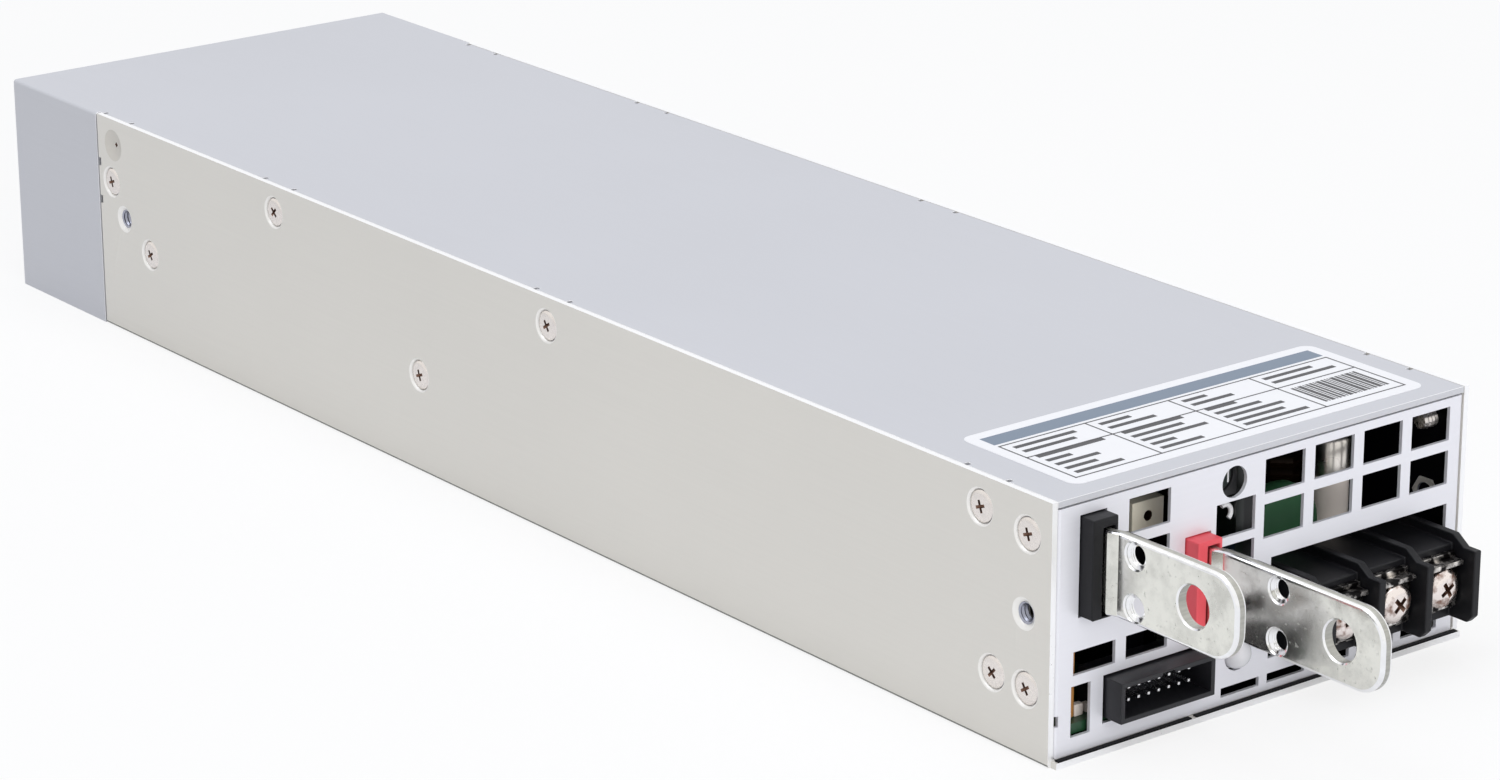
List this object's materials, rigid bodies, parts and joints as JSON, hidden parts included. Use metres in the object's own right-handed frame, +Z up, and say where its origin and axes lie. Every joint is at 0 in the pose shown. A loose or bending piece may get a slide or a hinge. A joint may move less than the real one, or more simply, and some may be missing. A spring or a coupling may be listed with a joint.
{
  "type": "switching power supply",
  "caption": "Long flat metal-cased switching power supply with bus-bar outputs, a screw terminal input block and vents at one end, and fans at the other.",
  "frame": {"origin": "centre of the case's bottom face, its front lip left out", "axes": "+Z up, +Y from the terminal end to the fan end along the case, +X to the right seen from the terminal end"},
  "size_m": [0.085, 0.3378, 0.0411],
  "materials": {
    "wall_sheet": "matt zinc",
    "cover_sheet": "matt",
    "panel_sheet": "matt zinc",
    "label": "satin film",
    "screw_steel": "nickel plated",
    "bar_metal": "tin plated copper",
    "black_plastic": "moulded",
    "red_plastic": "moulded",
    "contact_metal": "nickel plated",
    "lamp_lens": "clear",
    "board": "solder mask",
    "film": "black film",
    "ferrite": "sintered",
    "winding": "enamelled copper",
    "can_sleeve": "shrink sleeve",
    "box_plastic": "moulded",
    "sink_metal": "extruded",
    "ceramic": "glazed",
    "thermistor_green": "dipped",
    "package_epoxy": "moulded"
  },
  "bodies": {
    "case": {"chassis_tray": "wall_sheet", "top_cover": "cover_sheet", "front_panel": "panel_sheet", "fan_panel": "panel_sheet", "rating_label": "label", "panel_screws": "screw_steel", "cover_screws": "screw_steel", "heatsink_screws": "screw_steel", "fan_panel_screws": "screw_steel", "fan_screws": "screw_steel", "insulating_film": "film", "main_board": "board", "board_standoffs": "screw_steel", "board_screws": "screw_steel", "negative_busbar": "bar_metal", "positive_busbar": "bar_metal", "negative_insulator": "black_plastic", "positive_insulator": "red_plastic", "terminal_block": "black_plastic", "terminal_plates": "contact_metal", "clamp_washers": "contact_metal", "terminal_screws": "contact_metal", "header_shroud": "black_plastic", "header_pins": "contact_metal", "led_holder": "black_plastic", "status_led": "lamp_lens", "trimmer_body": "box_plastic", "control_board": "board", "inrush_thermistor": "thermistor_green", "fuse_tube": "ceramic", "fuse_caps": "contact_metal", "film_capacitor": "box_plastic", "line_relay": "can_sleeve", "bridge_rectifier": "package_epoxy", "bulk_capacitors": "can_sleeve", "output_capacitors": "can_sleeve", "primary_heatsink": "sink_metal", "rectifier_heatsink": "sink_metal", "power_transistors": "package_epoxy", "output_heatsink": "sink_metal", "output_rectifiers": "package_epoxy", "filter_choke_core": "ferrite", "filter_choke_coil": "winding", "output_choke_core": "ferrite", "output_choke_coil": "winding", "transformer_core": "ferrite", "transformer_coil": "winding", "boost_choke_core": "ferrite", "boost_choke_coil": "winding", "fan_frame_left": "black_plastic", "fan_bearing_left": "winding", "fan_stator_left": "ferrite", "fan_frame_right": "black_plastic", "fan_bearing_right": "winding", "fan_stator_right": "ferrite"},
    "left_fan": {"fan_rotor_left": "black_plastic"},
    "right_fan": {"fan_rotor_right": "black_plastic"},
    "trimmer": {"trimmer_rotor": "contact_metal"}
  },
  "joints": [
    {"name": "left_fan_spin", "type": "hinge", "parent": "case", "child": "left_fan", "pos_m": [-0.02, 0.134, 0.0205], "axis": [0, 1, 0], "continuous": true},
    {"name": "right_fan_spin", "type": "hinge", "parent": "case", "child": "right_fan", "pos_m": [0.02, 0.134, 0.0205], "axis": [0, 1, 0], "continuous": true},
    {"name": "trimmer_turn", "type": "hinge", "parent": "case", "child": "trimmer", "pos_m": [-0.00665, -0.1465, 0.03625], "axis": [0, 1, 0], "range_deg": [-135, 135]}
  ]
}
